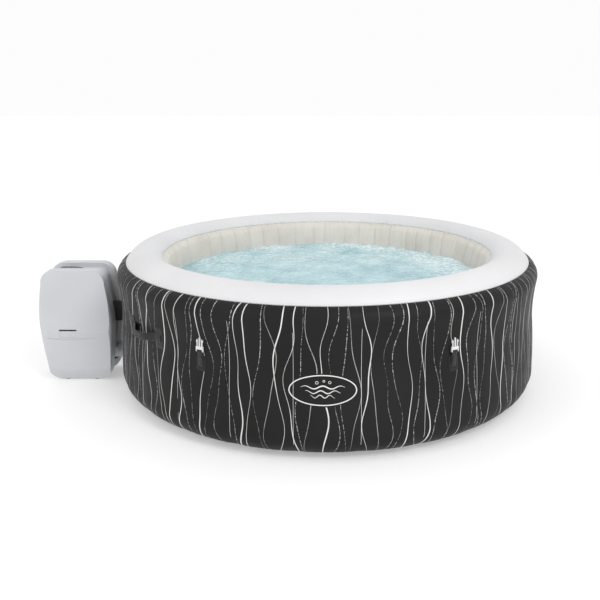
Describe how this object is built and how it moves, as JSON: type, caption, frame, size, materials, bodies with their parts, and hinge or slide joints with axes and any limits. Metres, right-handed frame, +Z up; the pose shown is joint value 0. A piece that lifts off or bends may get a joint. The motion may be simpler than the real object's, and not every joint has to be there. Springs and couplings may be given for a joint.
{
  "type": "inflatable hot tub",
  "caption": "Round inflatable hot tub: air-filled ring wall, bubble ring, filter, cover buckles and carry handles, with a free-standing pump and heater unit on union nuts.",
  "frame": {"origin": "centre of the tub's round base, on the floor", "axes": "+Z up; the pump unit stands on the -X side; +Y to the back, away from the front view"},
  "size_m": [2.3455, 1.9618, 0.6604],
  "materials": {
    "printed_vinyl": "satin sheet with pale printed lines",
    "white_vinyl": "satin sheet",
    "liner_vinyl": "soft sheet",
    "base_vinyl": "matte sheet",
    "strap_vinyl": "sheet",
    "clear_tube": "satin",
    "fitting_plastic": "satin",
    "black_rubber": "matte",
    "white_plastic": "satin",
    "filter_paper": "pleated",
    "black_plastic": "satin",
    "webbing": "woven",
    "patch_vinyl": "satin sheet",
    "casing_plastic": "fine texture",
    "screw_steel": "plated",
    "lens_plastic": "gloss",
    "board": "solder mask",
    "pipe_plastic": "satin",
    "motor_metal": "cast",
    "heater_steel": "brushed",
    "nut_plastic": "satin",
    "buckle_plastic": "satin",
    "button_plastic": "satin"
  },
  "bodies": {
    "tub": {"outer_wall": "printed_vinyl", "top_panel": "white_vinyl", "inner_wall": "liner_vinyl", "base_sheet": "base_vinyl", "floor_liner": "liner_vinyl", "wall_straps": "strap_vinyl", "bubble_ring": "liner_vinyl", "air_delivery_tube": "clear_tube", "suction_wall_fitting": "fitting_plastic", "return_wall_fitting": "fitting_plastic", "air_wall_fitting": "black_rubber", "return_screen": "white_plastic", "air_valve_body": "black_plastic", "drain_fitting": "black_plastic", "carry_handle_1": "webbing", "carry_handle_2": "webbing", "handle_patches": "patch_vinyl", "buckle_patches": "patch_vinyl", "buckle_straps": "webbing", "strap_rivets": "black_plastic"},
    "pump_unit": {"side_shell_near": "casing_plastic", "side_shell_far": "casing_plastic", "centre_shell": "casing_plastic", "intake_grille": "casing_plastic", "pump_feet": "black_rubber", "foot_screws": "screw_steel", "control_lens": "lens_plastic", "control_board": "board", "suction_pipe": "pipe_plastic", "return_pipe": "pipe_plastic", "link_pipe": "pipe_plastic", "pump_volute": "black_plastic", "pump_motor": "motor_metal", "heater_tube": "heater_steel", "heater_element": "heater_steel", "blower_housing": "black_plastic", "blower_motor": "motor_metal", "air_pipe": "pipe_plastic", "air_duct": "black_rubber", "power_box": "black_plastic", "cable_gland": "black_plastic"},
    "filter": {"filter_housing": "white_plastic", "filter_cartridge": "filter_paper"},
    "valve_cap": {"air_valve_cap": "black_plastic"},
    "drain_cap_body": {"drain_cap": "black_plastic"},
    "drain_stopper_body": {"drain_stopper": "black_rubber"},
    "nut_near": {"union_nut_near": "nut_plastic"},
    "nut_far": {"union_nut_far": "nut_plastic"},
    "impeller": {"pump_impeller": "white_plastic"},
    "fan": {"blower_fan": "white_plastic"},
    "buckle_1": {"cover_buckle_1": "buckle_plastic"},
    "buckle_2": {"cover_buckle_2": "buckle_plastic"},
    "buckle_3": {"cover_buckle_3": "buckle_plastic"},
    "buckle_4": {"cover_buckle_4": "buckle_plastic"},
    "button_1_body": {"button_1": "button_plastic"},
    "button_2_body": {"button_2": "button_plastic"},
    "button_3_body": {"button_3": "button_plastic"},
    "button_4_body": {"button_4": "button_plastic"},
    "button_5_body": {"button_5": "button_plastic"}
  },
  "joints": [
    {"name": "pump_pull_away", "type": "slide", "parent": "tub", "child": "pump_unit", "axis": [-1, 0, 0], "range_m": [0, 0.25]},
    {"name": "nut_near_turn", "type": "hinge", "parent": "pump_unit", "child": "nut_near", "pos_m": [-1.031, -0.05, 0.12], "axis": [-1, 0, 0], "range_deg": [0, 450]},
    {"name": "nut_far_turn", "type": "hinge", "parent": "pump_unit", "child": "nut_far", "pos_m": [-1.031, 0.05, 0.12], "axis": [-1, 0, 0], "range_deg": [0, 450]},
    {"name": "impeller_spin", "type": "hinge", "parent": "pump_unit", "child": "impeller", "pos_m": [-1.13, -0.05, 0.12], "axis": [1, 0, 0], "continuous": true},
    {"name": "fan_spin", "type": "hinge", "parent": "pump_unit", "child": "fan", "pos_m": [-1.25, -0.018, 0.43], "axis": [0, 0, 1], "continuous": true},
    {"name": "valve_cap_turn", "type": "hinge", "parent": "tub", "child": "valve_cap", "pos_m": [-0.88818, 0.41417, 0.5], "axis": [-0.9063, 0.4226, 0], "range_deg": [0, 360]},
    {"name": "drain_cap_turn", "type": "hinge", "parent": "tub", "child": "drain_cap_body", "pos_m": [0.25623, 0.95627, 0.112], "axis": [0.2588, 0.9659, 0], "range_deg": [0, 360]},
    {"name": "drain_stopper_pull", "type": "slide", "parent": "tub", "child": "drain_stopper_body", "axis": [-0.2588, -0.9659, 0], "range_m": [0, 0.03]},
    {"name": "filter_twist", "type": "hinge", "parent": "tub", "child": "filter", "pos_m": [-0.67, -0.05, 0.12], "axis": [1, 0, 0], "range_deg": [0, 30]},
    {"name": "buckle_1_swing", "type": "hinge", "parent": "tub", "child": "buckle_1", "pos_m": [0.4865, 0.84264, 0.402], "axis": [-0.866, 0.5, 0], "range_deg": [0, 130]},
    {"name": "buckle_2_swing", "type": "hinge", "parent": "tub", "child": "buckle_2", "pos_m": [-0.4865, 0.84264, 0.402], "axis": [-0.866, -0.5, 0], "range_deg": [0, 130]},
    {"name": "buckle_3_swing", "type": "hinge", "parent": "tub", "child": "buckle_3", "pos_m": [-0.4865, -0.84264, 0.402], "axis": [0.866, -0.5, 0], "range_deg": [0, 130]},
    {"name": "buckle_4_swing", "type": "hinge", "parent": "tub", "child": "buckle_4", "pos_m": [0.4865, -0.84264, 0.402], "axis": [0.866, 0.5, 0], "range_deg": [0, 130]},
    {"name": "button_1_press", "type": "slide", "parent": "pump_unit", "child": "button_1_body", "axis": [0, 0, -1], "range_m": [0, 0.0008], "stiffness_N_per_m": 300},
    {"name": "button_2_press", "type": "slide", "parent": "pump_unit", "child": "button_2_body", "axis": [0, 0, -1], "range_m": [0, 0.0008], "stiffness_N_per_m": 300},
    {"name": "button_3_press", "type": "slide", "parent": "pump_unit", "child": "button_3_body", "axis": [0, 0, -1], "range_m": [0, 0.0008], "stiffness_N_per_m": 300},
    {"name": "button_4_press", "type": "slide", "parent": "pump_unit", "child": "button_4_body", "axis": [0, 0, -1], "range_m": [0, 0.0008], "stiffness_N_per_m": 300},
    {"name": "button_5_press", "type": "slide", "parent": "pump_unit", "child": "button_5_body", "axis": [0, 0, -1], "range_m": [0, 0.0008], "stiffness_N_per_m": 300}
  ]
}
